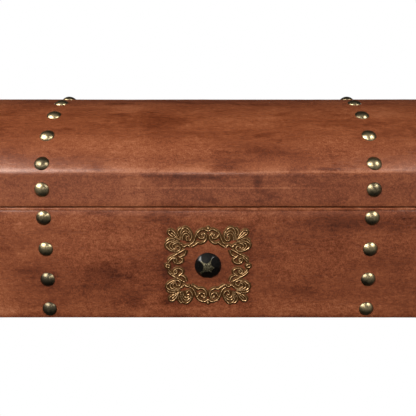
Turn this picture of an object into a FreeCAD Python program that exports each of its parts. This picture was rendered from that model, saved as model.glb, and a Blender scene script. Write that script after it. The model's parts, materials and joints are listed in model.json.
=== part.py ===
"""Barrel-top leather box for papers and keepsakes.

A wooden carcass is wrapped in leather, studded with two columns of domed nails and dressed on the front
with a pierced scroll ornament round a faceted boss. The lid swings on two stop hinges at the back rim.
Millimetres; the origin is the middle of the underside, +Z is up and the front faces -Y.
"""
import FreeCAD
import Part
import Sketcher

import math
import os
import re

from FreeCAD import Placement, Rotation, Vector

# Driving dimensions, each written once as the text of a sheet cell.
SIZES = {
    # The box over its leather
    "box_length": "380",
    "box_depth": "180",
    "base_height": "86",
    "parting_gap": "0.8",
    "lid_front_height": "25",
    "barrel_rise": "51",
    # Wooden carcass
    "board_thickness": "9",
    "floor_thickness": "6",
    "rabbet_depth": "4",
    "barrel_thickness": "6",
    # Leather wrap and its turned edges
    "leather_thickness": "1.4",
    "corner_radius": "3",
    "edge_bevel": "1.5",
    "shoulder_radius": "6",
    "turn_in": "10",
    "turn_under": "14",
    "end_turn": "7",
    "seam_gap": "0.2",
    # Felt underside and fabric-covered lining
    "felt_proud": "0.4",
    "lining_thickness": "1.2",
    "lining_gap": "0.2",
    # Domed nails
    "stud_diameter": "11",
    "stud_dome_height": "2.4",
    "stud_dome_bands": "3",
    "stud_dome_sides": "12",
    "stud_shank_width": "1.8",
    "stud_tip_width": "0.6",
    "stud_shank_length": "5.6",
    "stud_hole_clearance": "0.05",
    "stud_hole_spare": "0.3",
    "stud_column_spread": "240",
    "stud_edge_inset": "7.6",
    "stud_shoulder_inset": "7.4",
    "base_stud_count": "4",
    "barrel_stud_count": "9",
    # Faceted boss
    "boss_diameter": "20",
    "boss_dome_height": "5.4",
    "boss_dome_bands": "5",
    "boss_dome_sides": "20",
    "boss_centre_height": "42",
    "boss_facet_count": "5",
    "boss_facet_tilt": "38",
    "boss_facet_half_angle": "21",
    "boss_facet_turn": "12",
    "boss_shank_width": "4",
    "boss_shank_length": "8",
    "boss_hole_clearance": "0.05",
    "boss_hole_spare": "0.3",
    # Scroll ornament
    "filigree_size": "63",
    "filigree_thickness": "1.2",
    "filigree_strand_width": "1.2",
    "filigree_stem_width": "2.2",
    "filigree_chord_turn": "36",
    # Stop hinges
    "hinge_spread": "180",
    "hinge_length": "34",
    "leaf_thickness": "2",
    "leaf_setback": "0.6",
    "mortise_fit": "0.15",
    "knuckle_radius": "2.6",
    "knuckle_standoff": "0.4",
    "knuckle_gap": "0.15",
    "lid_knuckle_length": "14",
    "hinge_pin_radius": "1.2",
    "hinge_pin_clearance": "0.05",
    "stop_dog_length": "1.6",
    "stop_dog_angle": "70",
    "stop_dog_start": "10",
    "stop_slack": "0.5",
    "opening_angle": "100",
    # How far every cutting tool passes the face that it cuts
    "overrun": "2",
}

# Places and sizes that follow from the driving dimensions.
PLACES = {
    "half_length": "box_length / 2",
    "half_depth": "box_depth / 2",
    "core_half_length": "half_length - leather_thickness",
    "core_half_depth": "half_depth - leather_thickness",
    "inner_half_length": "core_half_length - board_thickness",
    "inner_half_depth": "core_half_depth - board_thickness",
    "mouth_half_length": "inner_half_length - leather_thickness",
    "mouth_half_depth": "inner_half_depth - leather_thickness",
    "leather_under": "felt_proud",
    "core_under": "felt_proud + leather_thickness",
    "floor_top": "core_under + floor_thickness",
    "base_core_top": "base_height - leather_thickness",
    "base_turn_in_end": "base_core_top - turn_in",
    "lid_bottom": "base_height + parting_gap",
    "lid_core_bottom": "lid_bottom + leather_thickness",
    "lid_turn_in_end": "lid_core_bottom + turn_in",
    "shoulder_height": "lid_bottom + lid_front_height",
    "lid_top": "shoulder_height + barrel_rise",
    "barrel_radius": "(half_depth ^ 2 + barrel_rise ^ 2) / (2 * barrel_rise)",
    "barrel_axis_height": "lid_top - barrel_radius",
    "barrel_core_radius": "barrel_radius - leather_thickness",
    "barrel_inner_radius": "barrel_core_radius - barrel_thickness",
    "barrel_lining_radius": "barrel_inner_radius - lining_thickness",
    "boss_radius": "boss_diameter / 2",
    "boss_sphere_radius": "(boss_radius ^ 2 + boss_dome_height ^ 2) / (2 * boss_dome_height)",
    "hinge_half_length": "hinge_length / 2",
    "hinge_axis_y": "half_depth + knuckle_standoff + knuckle_radius",
    "hinge_axis_z": "base_height + parting_gap / 2",
    "leaf_inner_y": "inner_half_depth + leaf_setback",
    "base_leaf_under": "base_height - leaf_thickness",
    "lid_leaf_top": "lid_bottom + leaf_thickness",
    "lid_knuckle_half": "lid_knuckle_length / 2",
    "base_knuckle_start": "lid_knuckle_half + knuckle_gap",
    "bore_radius": "hinge_pin_radius + hinge_pin_clearance",
}

doc = FreeCAD.newDocument("leather_box")
CELLS = {}
NODES = []


def with_cells(formula):
    """The same formula with each name written as a cell of its sheet."""
    return re.sub(r"[a-z]\w*", lambda word: CELLS.get(word[0], word[0]), formula)


def fill_sheet(sheet_name, texts):
    """A sheet with one named cell a row."""
    sheet = doc.addObject("Spreadsheet::Sheet", sheet_name)
    for row, (alias, text) in enumerate(texts.items(), start=1):
        sheet.set(f"A{row}", alias)
        sheet.set(f"B{row}", text if text[0].isdigit() else "=" + with_cells(text))
        sheet.setAlias(f"B{row}", alias)
        CELLS[alias] = f"{sheet_name}.{alias}"
    doc.recompute()
    return sheet


sizes = fill_sheet("sizes", SIZES)
places = fill_sheet("places", PLACES)


def value(name):
    """The number in a named cell."""
    return float(getattr(sizes if name in SIZES else places, name))


def bind(item, **formulas):
    """Tie properties of a document object to the sheets; a double underscore stands for a dot."""
    for prop, formula in formulas.items():
        item.setExpression(prop.replace("__", "."), with_cells(formula))
    return item


def move_to(item, x="0", y="0", z="0"):
    return bind(item, Placement__Base__x=x, Placement__Base__y=y, Placement__Base__z=z)


def block(name, x, y, z):
    """A box between a low and a high formula on each axis."""
    item = doc.addObject("Part::Box", name)
    bind(item, Length=f"({x[1]}) - ({x[0]})", Width=f"({y[1]}) - ({y[0]})", Height=f"({z[1]}) - ({z[0]})")
    return move_to(item, x[0], y[0], z[0])


def about(half):
    """The span between minus and plus one formula."""
    return f"-({half})", half


def rod(name, radius, x, y, z):
    """A round bar along X from the low to the high formula of x."""
    item = doc.addObject("Part::Cylinder", name)
    item.Placement = Placement(Vector(), Rotation(Vector(0, 1, 0), 90))
    bind(item, Radius=radius, Height=f"({x[1]}) - ({x[0]})")
    return move_to(item, x[0], y, z)


def combine(kind, name, base, tools):
    """The base worked with one tool after another; only the last stage bears the name."""
    for left, tool in zip(range(len(tools) - 1, -1, -1), tools):
        item = doc.addObject(kind, f"{name}_stage" if left else name)
        item.Base = base
        item.Tool = tool
        base = item
    return base


def cut(name, base, *tools):
    return combine("Part::Cut", name, base, tools)


def common(name, base, *tools):
    return combine("Part::Common", name, base, tools)


def fuse(name, *pieces):
    item = doc.addObject("Part::MultiFuse", name)
    item.Shapes = pieces
    return item


def feature(name, shape):
    item = doc.addObject("Part::Feature", name)
    item.Shape = shape
    return item


def node(name, item):
    """Mark a document object as one finished piece of the box."""
    item.Label = name
    NODES.append(item)
    return item


def sketch_on(body, plane):
    sketch = body.newObject("Sketcher::SketchObject", body.Name + "_outline")
    origin_plane = next(f for f in body.Origin.OriginFeatures if f.Role == plane)
    sketch.AttachmentSupport = [(origin_plane, "")]
    sketch.MapMode = "FlatFace"
    return sketch


def constrain(sketch, formula, *constraint):
    """Add a dimension to a sketch and tie it to the sheets."""
    index = sketch.addConstraint(Sketcher.Constraint(*constraint))
    sketch.setExpression(f"Constraints[{index}]", with_cells(formula))


def ease_edges(body, kind, chosen, **size):
    """Fillet or chamfer the edges of the body's last feature that pass the test."""
    doc.recompute()
    tip = body.Tip
    names = [f"Edge{i}" for i, edge in enumerate(tip.Shape.Edges, start=1) if chosen(edge.BoundBox)]
    eased = body.newObject("PartDesign::" + kind, body.Name + "_eased")
    eased.Base = (tip, names)
    bind(eased, **size)
    doc.recompute()


def close(first, second):
    return abs(first - second) < value("seam_gap") / 2


def wrapped_block(name):
    """The outside of the base: an upright block with rounded corners and bevelled rims."""
    body = doc.addObject("PartDesign::Body", name)
    sketch = sketch_on(body, "XY_Plane")
    bind(sketch, AttachmentOffset__Base__z="leather_under")
    dx, dy = value("half_length"), value("half_depth")
    corners = [Vector(-dx, -dy), Vector(dx, -dy), Vector(dx, dy), Vector(-dx, dy)]
    for start, end in zip(corners, corners[1:] + corners[:1]):
        sketch.addGeometry(Part.LineSegment(start, end))
    for first in range(4):
        sketch.addConstraint(Sketcher.Constraint("Coincident", first, 2, (first + 1) % 4, 1))
        sketch.addConstraint(Sketcher.Constraint("Vertical" if first % 2 else "Horizontal", first))
    sketch.addConstraint(Sketcher.Constraint("Symmetric", 0, 1, 2, 1, -1, 1))
    constrain(sketch, "box_length", "DistanceX", 0, 1, 0, 2, 2 * dx)
    constrain(sketch, "box_depth", "DistanceY", 1, 1, 1, 2, 2 * dy)
    pad = body.newObject("PartDesign::Pad", name + "_pad")
    pad.Profile = sketch
    bind(pad, Length="base_height - leather_under")
    ease_edges(body, "Fillet", Radius="corner_radius",
               chosen=lambda box: box.ZLength > box.XLength + box.YLength)
    ease_edges(body, "Chamfer", Size="edge_bevel", chosen=lambda box: close(box.ZLength, 0))
    return body


def barrel_prism(name, half_width, bottom, radius, half_length):
    """A bar along X with an upright-sided, round-topped section about the barrel axis."""
    body = doc.addObject("PartDesign::Body", name)
    sketch = sketch_on(body, "YZ_Plane")
    side, low, centre = value("core_half_depth"), value("lid_bottom"), value("barrel_axis_height")
    arc_radius = value("barrel_radius")
    shoulder = centre + math.sqrt(arc_radius ** 2 - side ** 2)
    start = math.asin((shoulder - centre) / arc_radius)
    circle = Part.Circle(Vector(0, centre), Vector(0, 0, 1), arc_radius)
    sketch.addGeometry(Part.LineSegment(Vector(-side, low), Vector(side, low)))
    sketch.addGeometry(Part.LineSegment(Vector(side, low), Vector(side, shoulder)))
    sketch.addGeometry(Part.ArcOfCircle(circle, start, math.pi - start))
    sketch.addGeometry(Part.LineSegment(Vector(-side, shoulder), Vector(-side, low)))
    for first in range(4):
        sketch.addConstraint(Sketcher.Constraint("Coincident", first, 2, (first + 1) % 4, 1))
    sketch.addConstraint(Sketcher.Constraint("Vertical", 1))
    sketch.addConstraint(Sketcher.Constraint("Vertical", 3))
    sketch.addConstraint(Sketcher.Constraint("PointOnObject", 2, 3, -2))
    sketch.addConstraint(Sketcher.Constraint("Symmetric", 0, 1, 0, 2, -2))
    constrain(sketch, f"2 * ({half_width})", "DistanceX", 0, 1, 0, 2, 2 * side)
    constrain(sketch, bottom, "DistanceY", -1, 1, 0, 1, low)
    constrain(sketch, "barrel_axis_height", "DistanceY", -1, 1, 2, 3, centre)
    constrain(sketch, radius, "Radius", 2, arc_radius)
    pad = body.newObject("PartDesign::Pad", name + "_pad")
    pad.Profile = sketch
    pad.SideType = "Symmetric"
    bind(pad, Length=f"2 * ({half_length})")
    doc.recompute()
    return body


def lid_form(name, inset):
    """The lid's outside, or with an inset the wood inside it, with rounded shoulders."""
    body = barrel_prism(name, f"half_depth - {inset}", f"lid_bottom + {inset}",
                        f"barrel_radius - {inset}", f"half_length - {inset}")
    low, end = body.Shape.BoundBox.ZMin, body.Shape.BoundBox.XMax
    ease_edges(body, "Fillet", Radius=f"shoulder_radius - {inset}",
               chosen=lambda box: box.XLength > end and not close(box.ZMin, low))
    return body


# Domed nails
# A shallow dome on a square, tapered shank, pointing along +Z from its seat at the origin.

def faceted_dome(name, kind):
    """A cap of flat facets, laid in rings on a sphere and closed by a point at the crown."""
    radius, height = value(kind + "_diameter") / 2, value(kind + "_dome_height")
    bands, sides = round(value(kind + "_dome_bands")), round(value(kind + "_dome_sides"))
    sphere = (radius ** 2 + height ** 2) / (2 * height)
    rings = []
    for band in range(bands):
        angle = math.asin(radius / sphere) * (1 - band / bands)
        rim = Vector(sphere * math.sin(angle), 0, height - sphere * (1 - math.cos(angle)))
        rings.append([Rotation(Vector(0, 0, 1), 360 * side / sides).multVec(rim) for side in range(sides)])
    crown = Vector(0, 0, height)
    outlines = [rings[0]]
    for side in range(sides):
        after = (side + 1) % sides
        outlines += [(low[side], low[after], high[after], high[side]) for low, high in zip(rings, rings[1:])]
        outlines.append((rings[-1][side], rings[-1][after], crown))
    faces = [Part.Face(Part.makePolygon([*outline, outline[0]])) for outline in outlines]
    return feature(name, Part.Solid(Part.Shell(faces)))


def square_bar(name, width, low, high):
    return block(name, about(f"({width}) / 2"), about(f"({width}) / 2"), (low, high))


def make_stud():
    dome = faceted_dome("stud_dome", "stud")
    shank = doc.addObject("Part::Wedge", "stud_shank")
    shank.Placement = Placement(Vector(), Rotation(Vector(1, 0, 0), -90))
    half, tip = "stud_shank_width / 2", "stud_tip_width / 2"
    bind(shank, Xmin=f"-{half}", Xmax=half, Zmin=f"-{half}", Zmax=half, Ymin="0", Ymax="stud_shank_length",
         X2min=f"-{tip}", X2max=tip, Z2min=f"-{tip}", Z2max=tip)
    return fuse("stud_form", dome, shank)


def outward(tilt):
    """A turn that points +Z outward in the YZ plane: 0 is the front, 90 straight up, 180 the back."""
    return Rotation(Vector(1, 0, 0), 90 - tilt)


def base_stud_places(side):
    """Seats of one face's nails; side is -1 for the front and 1 for the back."""
    count = round(value("base_stud_count"))
    first = value("stud_edge_inset")
    pitch = (value("base_height") - 2 * first) / (count - 1)
    return [Placement(Vector(column * value("stud_column_spread") / 2, side * value("half_depth"),
                             first + row * pitch), outward(90 + 90 * side))
            for column in (-1, 1) for row in range(count)]


def lid_stud_places():
    """Seats over the lid: one on each upright face and an even row round the barrel."""
    radius, centre = value("barrel_radius"), value("barrel_axis_height")
    shoulder_tilt = math.degrees(math.acos(value("half_depth") / radius))
    first_tilt = shoulder_tilt + math.degrees(value("stud_shoulder_inset") / radius)
    count = round(value("barrel_stud_count"))
    seats = []
    for column in (-1, 1):
        x = column * value("stud_column_spread") / 2
        for side in (-1, 1):
            z = value("lid_bottom") + value("lid_front_height") / 2
            seats.append(Placement(Vector(x, side * value("half_depth"), z), outward(90 + 90 * side)))
        for row in range(count):
            tilt = first_tilt + row * (180 - 2 * first_tilt) / (count - 1)
            y, z = -radius * math.cos(math.radians(tilt)), radius * math.sin(math.radians(tilt))
            seats.append(Placement(Vector(x, y, centre + z), outward(tilt)))
    return seats


def repeated(name, form, seats):
    """One group of like solids, a copy of the form at each seat."""
    return feature(name, Part.makeCompound([form.Shape.transformed(seat.toMatrix()) for seat in seats]))


stud_form = make_stud()
stud_hole_form = square_bar("stud_hole_form", "stud_shank_width + 2 * stud_hole_clearance",
                            "-stud_shank_length - stud_hole_spare", "overrun")
doc.recompute()
node("base_front_studs", repeated("base_front_studs", stud_form, base_stud_places(-1)))
node("base_back_studs", repeated("base_back_studs", stud_form, base_stud_places(1)))
node("lid_studs", repeated("lid_studs", stud_form, lid_stud_places()))
front_stud_holes = repeated("front_stud_holes", stud_hole_form, base_stud_places(-1))
back_stud_holes = repeated("back_stud_holes", stud_hole_form, base_stud_places(1))
lid_stud_holes = repeated("lid_stud_holes", stud_hole_form, lid_stud_places())

# Faceted boss
# A domed nail head with five flats ground round its crown, on a thick shank driven into the front board.

def make_boss():
    dome = faceted_dome("boss_dome", "boss")
    count = round(value("boss_facet_count"))
    for facet in range(count):
        waste = doc.addObject("Part::Cylinder", "boss_facet_waste")
        turn = Rotation(Vector(0, 0, 1), 90 + value("boss_facet_turn") + facet * 360 / count)
        waste.Placement = Placement(Vector(), turn * Rotation(Vector(0, 1, 0), value("boss_facet_tilt")))
        lean = waste.Placement.Rotation.multVec(Vector(0, 0, 1))
        depth = "boss_sphere_radius * cos(boss_facet_half_angle * 1 deg)"
        bind(waste, Radius="boss_radius", Height="boss_radius")
        move_to(waste, f"{lean.x} * {depth}", f"{lean.y} * {depth}",
                f"{lean.z} * {depth} + boss_dome_height - boss_sphere_radius")
        dome = cut("boss_ground", dome, waste)
    shank = square_bar("boss_shank", "boss_shank_width", "-boss_shank_length", "0")
    return fuse("boss", dome, shank)


boss = make_boss()
boss.Placement = Placement(Vector(), outward(0))
node("boss", move_to(boss, y="-half_depth", z="boss_centre_height"))
boss_hole_half = "boss_shank_width / 2 + boss_hole_clearance"
boss_hole = block("boss_hole", about(boss_hole_half),
                  ("-half_depth - overrun", "boss_shank_length + boss_hole_spare - half_depth"),
                  (f"boss_centre_height - ({boss_hole_half})", f"boss_centre_height + {boss_hole_half}"))

# Scroll ornament
# Each strand is a chain of tangent arcs: where it starts, which way it heads, and for each arc its radius and
# turn in degrees. Starts and radii are shares of half the ornament's size. One quarter is listed; its corner
# strands are also mirrored about the diagonal, and the other quarters are mirror images.

STRAND_SHARES = {
    "arch": ((-0.47, 0.50), 43, ((0.93, 24), (0.142, -126))),
    "scroll": ((-0.56, 0.48), 0, ((0.47, 28.7), (0.47, -28.7), (0.105, 180), (0.07, 190))),
    "side_ribbon": ((-0.485, 0.475), 207, ((3.0, 8), (0.19, 75))),
    "side_scroll": ((-0.495, 0.48), 262, ((0.35, -30), (0.10, -80))),
    "side_eye": ((-0.71, 0.285), 322, ((0.4, -16), (0.10, -190), (0.055, -170))),
}
CORNER_SHARES = {
    "petal": ((-0.655, 0.655), 103, ((0.45, 47), (0.055, 80))),
    "fan": ((-0.64, 0.66), 108, ((0.9, -12), (0.115, -106), (0.17, -90), (0.082, -165))),
}
STEM_SHARES = ((-0.68, 0.68), (-0.46, 0.46))
BEAD_SHARES = ((0, 0.935), 0.06)
RING_SHARES = ((0.945, 0), 0.068)
RING_HOLE_SHARE = 0.028


def arc_points(start, heading, arcs, offset):
    """Points of one side of a strand, a set distance to the left of its line."""
    points = []
    for radius, turn in arcs:
        side = math.copysign(1, turn)
        to_centre = Vector(-math.sin(math.radians(heading)), math.cos(math.radians(heading))) * side
        centre = start + to_centre * radius
        chords = math.ceil(abs(turn) / value("filigree_chord_turn"))
        for chord in range(1 if points else 0, chords + 1):
            swing = Rotation(Vector(0, 0, 1), turn * chord / chords)
            points.append(centre + swing.multVec(to_centre * (side * offset - radius)))
        start = centre - Rotation(Vector(0, 0, 1), turn).multVec(to_centre * radius)
        heading += turn
    return points


def strand_face(start_share, heading, arc_shares, half_size, width):
    """A flat ribbon of even width along a chain of arcs."""
    start = Vector(*start_share) * half_size
    arcs = [(radius * half_size, turn) for radius, turn in arc_shares]
    left = arc_points(start, heading, arcs, width / 2)
    right = arc_points(start, heading, arcs, -width / 2)
    return Part.Face(Part.makePolygon(left + right[::-1] + left[:1]))


def disc_face(centre, radius):
    """A flat disc with eight sides."""
    turns = [Rotation(Vector(0, 0, 1), 45 * (step + 0.5)) for step in range(8)]
    corners = [centre + turn.multVec(Vector(0, radius)) for turn in turns]
    return Part.Face(Part.makePolygon(corners + corners[:1]))


def quarter_faces(half_size):
    """The ribbons of the top left quarter."""
    width = value("filigree_strand_width")
    faces = [strand_face(*shares, half_size, width) for shares in STRAND_SHARES.values()]
    diagonal = Placement(Vector(), Rotation(Vector(-1, 1, 0), 180)).toMatrix()
    for shares in CORNER_SHARES.values():
        face = strand_face(*shares, half_size, width)
        faces += [face, face.transformed(diagonal)]
    stem_start, stem_end = (Vector(*share) * half_size for share in STEM_SHARES)
    stem_side = Vector(1, 1, 0).normalize() * value("filigree_stem_width") / 2
    stem = [stem_start - stem_side, stem_start + stem_side, stem_end + stem_side, stem_end - stem_side]
    faces.append(Part.Face(Part.makePolygon(stem + stem[:1])))
    return faces


def make_filigree():
    half_size = value("filigree_size") / 2
    rise = Vector(0, 0, value("filigree_thickness"))
    flips = [Rotation()] + [Rotation(Vector(*axis), 180) for axis in ((0, 1, 0), (1, 0, 0), (0, 0, 1))]
    quarter = quarter_faces(half_size)
    faces = [face.transformed(Placement(Vector(), flip).toMatrix()) for flip in flips for face in quarter]
    holes = []
    for side in (1, -1):
        for share, radius_share in (BEAD_SHARES, RING_SHARES):
            faces.append(disc_face(Vector(*share) * (side * half_size), radius_share * half_size))
        ring_centre = Vector(*RING_SHARES[0]) * (side * half_size)
        holes.append(disc_face(ring_centre - rise, RING_HOLE_SHARE * half_size).extrude(rise * 3))
    ribbons = [face.extrude(rise) for face in faces]
    plate = ribbons[0].multiFuse(ribbons[1:]).removeSplitter().cut(holes)
    return feature("filigree", plate.Solids[0])


filigree = make_filigree()
filigree.Placement = Placement(Vector(0, -value("half_depth"), value("boss_centre_height")), outward(0))
node("filigree", filigree)

# Stop hinges
# Brass leaves let in flush with the rims, knuckles behind the back face. A dog on the end of each base
# knuckle runs in a slot of the lid knuckle and stops the lid a little past upright.

def sector(name, radius, x, start, angle):
    """A wedge of a round bar on the hinge axis; angles go from straight down towards the back."""
    item = rod(name, radius, x, "hinge_axis_y", "hinge_axis_z")
    item.Placement = Placement(Vector(), Rotation(Vector(0, 1, 0), 90) * Rotation(Vector(0, 0, 1), start))
    return bind(item, Angle=angle)


def make_hinge(side_name, side):
    middle = f"{side} * hinge_spread / 2"

    def span(low, high):
        return f"{middle} + ({low})", f"{middle} + ({high})"

    whole = span("-hinge_half_length", "hinge_half_length")
    ends = (span("-hinge_half_length", "-base_knuckle_start"),
            span("base_knuckle_start", "hinge_half_length"))
    inside = span("-lid_knuckle_half", "lid_knuckle_half")
    dogs = (span("-base_knuckle_start", "stop_dog_length - lid_knuckle_half"),
            span("lid_knuckle_half - stop_dog_length", "base_knuckle_start"))
    slots = (span("-lid_knuckle_half", "stop_dog_length + knuckle_gap - lid_knuckle_half"),
             span("lid_knuckle_half - stop_dog_length - knuckle_gap", "lid_knuckle_half"))
    bore = rod("hinge_bore", "bore_radius", whole, "hinge_axis_y", "hinge_axis_z")
    start = value("stop_dog_start")

    base_z = ("base_leaf_under", "base_height")
    pieces = [block("base_plate", whole, ("leaf_inner_y", "half_depth"), base_z)]
    for reach in ends:
        pieces.append(block("base_tongue", reach, ("half_depth", "hinge_axis_y"), base_z))
        pieces.append(rod("base_knuckle", "knuckle_radius", reach, "hinge_axis_y", "hinge_axis_z"))
    for reach in dogs:
        pieces.append(sector("stop_dog", "knuckle_radius", reach, start, "stop_dog_angle"))
    leaf = cut(f"hinge_{side_name}_base_leaf", fuse("base_leaf_blank", *pieces), bore)
    node(f"hinge_{side_name}_base_leaf", leaf)

    lid_z = ("lid_bottom", "lid_leaf_top")
    pieces = [block("lid_plate", whole, ("leaf_inner_y", "half_depth"), lid_z),
              block("lid_tongue", inside, ("half_depth", "hinge_axis_y"), lid_z),
              rod("lid_knuckle", "knuckle_radius", inside, "hinge_axis_y", "hinge_axis_z")]
    cuts = [bore]
    for reach in slots:
        cuts.append(sector("stop_slot", "knuckle_radius + overrun", reach, start - value("stop_slack"),
                           "stop_dog_angle + opening_angle + 2 * stop_slack"))
    leaf = cut(f"hinge_{side_name}_lid_leaf", fuse("lid_leaf_blank", *pieces), *cuts)
    node(f"hinge_{side_name}_lid_leaf", leaf)

    pin = rod(f"hinge_{side_name}_pin", "hinge_pin_radius", whole, "hinge_axis_y", "hinge_axis_z")
    node(f"hinge_{side_name}_pin", pin)
    bed = span("-hinge_half_length - mortise_fit", "hinge_half_length + mortise_fit")
    bed_y = ("leaf_inner_y - mortise_fit", "half_depth + overrun")
    return (block("base_mortise", bed, bed_y, ("base_leaf_under", "base_height + overrun")),
            block("lid_mortise", bed, bed_y, ("lid_bottom - overrun", "lid_leaf_top")))


left_mortises = make_hinge("left", -1)
right_mortises = make_hinge("right", 1)
base_mortises = left_mortises[0], right_mortises[0]
lid_mortises = left_mortises[1], right_mortises[1]

# Base carcass
# Front and back boards run the full length, the ends stand between them and the floor lies in a rabbet.

core_z = ("core_under", "base_core_top")
base_core = block("base_core", about("core_half_length"), about("core_half_depth"), core_z)
floor_half_length = "inner_half_length + rabbet_depth"
floor_half_depth = "inner_half_depth + rabbet_depth"
floor_bed = block("floor_bed", about(floor_half_length), about(floor_half_depth), ("core_under", "floor_top"))
front_slab = block("front_slab", about("core_half_length"), ("-core_half_depth", "-inner_half_depth"), core_z)
back_slab = block("back_slab", about("core_half_length"), ("inner_half_depth", "core_half_depth"), core_z)
left_slab = block("left_slab", ("-core_half_length", "-inner_half_length"), about("inner_half_depth"), core_z)
right_slab = block("right_slab", ("inner_half_length", "core_half_length"), about("inner_half_depth"), core_z)
node("base_front_board", cut("base_front_board", front_slab, floor_bed, front_stud_holes, boss_hole))
node("base_back_board", cut("base_back_board", back_slab, floor_bed, back_stud_holes, *base_mortises))
node("base_left_board", cut("base_left_board", left_slab, floor_bed))
node("base_right_board", cut("base_right_board", right_slab, floor_bed))
node("base_floor_board", block("base_floor_board", about(floor_half_length), about(floor_half_depth),
                               ("core_under", "floor_top")))

# Base leather
# One strip goes round the four sides, meets itself in a seam at the middle of the back, and is turned in over
# the rim and under the floor.

base_outside = wrapped_block("base_outside")
base_mouth = block("base_mouth", about("mouth_half_length"), about("mouth_half_depth"),
                   ("base_turn_in_end - overrun", "base_height + overrun"))
under_window = block("under_window", about("core_half_length - turn_under"),
                     about("core_half_depth - turn_under"), ("-overrun", "core_under + overrun"))
turn_in_block = block("base_turn_in_block", about("inner_half_length"), about("inner_half_depth"),
                      ("base_turn_in_end", "base_core_top"))
seam = block("base_seam", about("seam_gap / 2"),
             ("core_half_depth - turn_under - overrun", "half_depth + overrun"),
             ("-overrun", "base_height + overrun"))
base_skin = cut("base_skin", fuse("base_wrap", cut("base_shell", base_outside, base_core), turn_in_block),
                base_mouth, under_window, seam)
node("base_leather", cut("base_leather", base_skin, *base_mortises, front_stud_holes, back_stud_holes,
                         boss_hole))

# Underside felt
# A felt sheet fills the window that the turned-under leather leaves and stands a little proud, so the box
# rests on it.

node("base_felt", block("base_felt", about("core_half_length - turn_under - seam_gap"),
                        about("core_half_depth - turn_under - seam_gap"), ("0", "core_under")))

# Base lining
# Fabric-covered cards: one on the floor, one on each wall up to the turned-in leather.

lining_floor_top = "floor_top + lining_thickness"
lining_z = (lining_floor_top, "base_turn_in_end - lining_gap")
lined_half_depth = "inner_half_depth - lining_thickness - lining_gap"
node("base_lining_floor", block("base_lining_floor", about("inner_half_length"), about("inner_half_depth"),
                                ("floor_top", lining_floor_top)))
node("base_lining_front", block("base_lining_front", about("inner_half_length"),
                                ("-inner_half_depth", "lining_thickness - inner_half_depth"), lining_z))
node("base_lining_back", block("base_lining_back", about("inner_half_length"),
                               ("inner_half_depth - lining_thickness", "inner_half_depth"), lining_z))
node("base_lining_left", block("base_lining_left",
                               ("-inner_half_length", "lining_thickness - inner_half_length"),
                               about(lined_half_depth), lining_z))
node("base_lining_right", block("base_lining_right",
                                ("inner_half_length - lining_thickness", "inner_half_length"),
                                about(lined_half_depth), lining_z))

# Lid carcass
# A bent panel lies over two bevelled rails and two arched ends.

lid_core = lid_form("lid_core", "leather_thickness")
full_x = about("half_length")
under_panel = rod("under_panel", "barrel_inner_radius", full_x, "0", "barrel_axis_height")
lid_z = ("lid_bottom", "lid_top")
lid_inside = common("lid_inside", lid_core, under_panel)
rail_front = block("rail_front", full_x, ("-half_depth", "-inner_half_depth"), lid_z)
rail_back = block("rail_back", full_x, ("inner_half_depth", "half_depth"), lid_z)
end_left = block("end_left", ("-half_length", "-inner_half_length"), about("inner_half_depth"), lid_z)
end_right = block("end_right", ("inner_half_length", "half_length"), about("inner_half_depth"), lid_z)
node("lid_barrel_panel", cut("lid_barrel_panel", lid_core, under_panel, lid_stud_holes))
front_blank = common("lid_front_blank", lid_inside, rail_front)
back_blank = common("lid_back_blank", lid_inside, rail_back)
node("lid_front_rail", cut("lid_front_rail", front_blank, lid_stud_holes))
node("lid_back_rail", cut("lid_back_rail", back_blank, lid_stud_holes, *lid_mortises))
node("lid_left_end", common("lid_left_end", lid_inside, end_left))
node("lid_right_end", common("lid_right_end", lid_inside, end_right))

# Lid leather
# One sheet goes from the front rim over the barrel to the back rim, turned in at both rims and over the edges
# of the ends. An arched panel fills each end and turns in under its own rim.

lid_outside = lid_form("lid_outside", "0")
lid_end, lid_low = value("half_length"), value("lid_bottom")


def on_rim_or_end(box):
    return close(box.ZMax, lid_low) or close(box.XLength, 0) and close(abs(box.XMin), lid_end)


ease_edges(lid_outside, "Chamfer", Size="edge_bevel", chosen=on_rim_or_end)
lid_shell = cut("lid_shell", lid_outside, lid_core)
mouth_x, mouth_y = about("mouth_half_length"), about("mouth_half_depth")
lid_mouth = block("lid_mouth", mouth_x, mouth_y, ("lid_bottom - overrun", "lid_turn_in_end + overrun"))
turn_in_z = ("lid_core_bottom", "lid_turn_in_end")
rim_z = ("lid_bottom", "lid_core_bottom")
inner_x, inner_y = about("inner_half_length"), about("inner_half_depth")
front_turn_in = block("lid_front_turn_in", inner_x, ("-inner_half_depth", "-mouth_half_depth"), turn_in_z)
back_turn_in = block("lid_back_turn_in", inner_x, ("mouth_half_depth", "inner_half_depth"), turn_in_z)
end_window = barrel_prism("end_window", "half_depth - end_turn", "lid_bottom - overrun",
                          "barrel_radius - end_turn", "half_length + overrun")
end_panel = barrel_prism("end_panel", "half_depth - end_turn - seam_gap", "lid_bottom - overrun",
                         "barrel_radius - end_turn - seam_gap", "half_length + overrun")
lid_turned = fuse("lid_turned", cut("lid_open_shell", lid_shell, lid_mouth), front_turn_in, back_turn_in)
lid_wrap = cut("lid_wrap", lid_turned, *lid_mortises, lid_stud_holes)
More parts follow.
